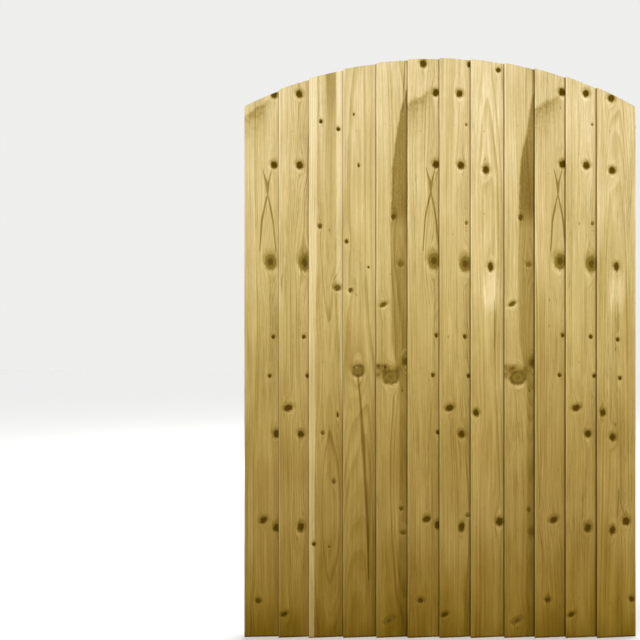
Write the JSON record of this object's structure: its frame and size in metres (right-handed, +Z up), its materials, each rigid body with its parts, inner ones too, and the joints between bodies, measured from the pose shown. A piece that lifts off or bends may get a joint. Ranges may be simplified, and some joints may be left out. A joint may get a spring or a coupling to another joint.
{
  "type": "garden gate",
  "caption": "Arch-topped garden gate leaf: overlapping feather-edge boards nailed to a half-lapped timber frame with a middle rail and two diagonal braces.",
  "frame": {"origin": "middle of the leaf's width and thickness, level with the bottom ends of the boards", "axes": "+X across the leaf towards the hinge side, -Y out of the boarded front, +Y out of the framed back, +Z up"},
  "size_m": [1.22, 0.0704, 1.8],
  "materials": {
    "cladding": "fine-sawn, pressure treated, uncoated",
    "frame_timber": "planed, eased arrises, pressure treated, uncoated",
    "nails": "hot-dip galvanised, dull",
    "screws": "yellow-passivated zinc"
  },
  "bodies": {
    "leaf": {"board_01": "cladding", "board_02": "cladding", "board_03": "cladding", "board_04": "cladding", "board_05": "cladding", "board_06": "cladding", "board_07": "cladding", "board_08": "cladding", "board_09": "cladding", "board_10": "cladding", "board_11": "cladding", "board_12": "cladding", "hinge_stile": "frame_timber", "latch_stile": "frame_timber", "top_rail": "frame_timber", "middle_rail": "frame_timber", "bottom_rail": "frame_timber", "upper_brace": "frame_timber", "lower_brace": "frame_timber", "rail_nails": "nails", "brace_nails": "nails", "corner_screws": "screws", "tenon_screws": "screws", "brace_screws": "screws"}
  },
  "joints": []
}
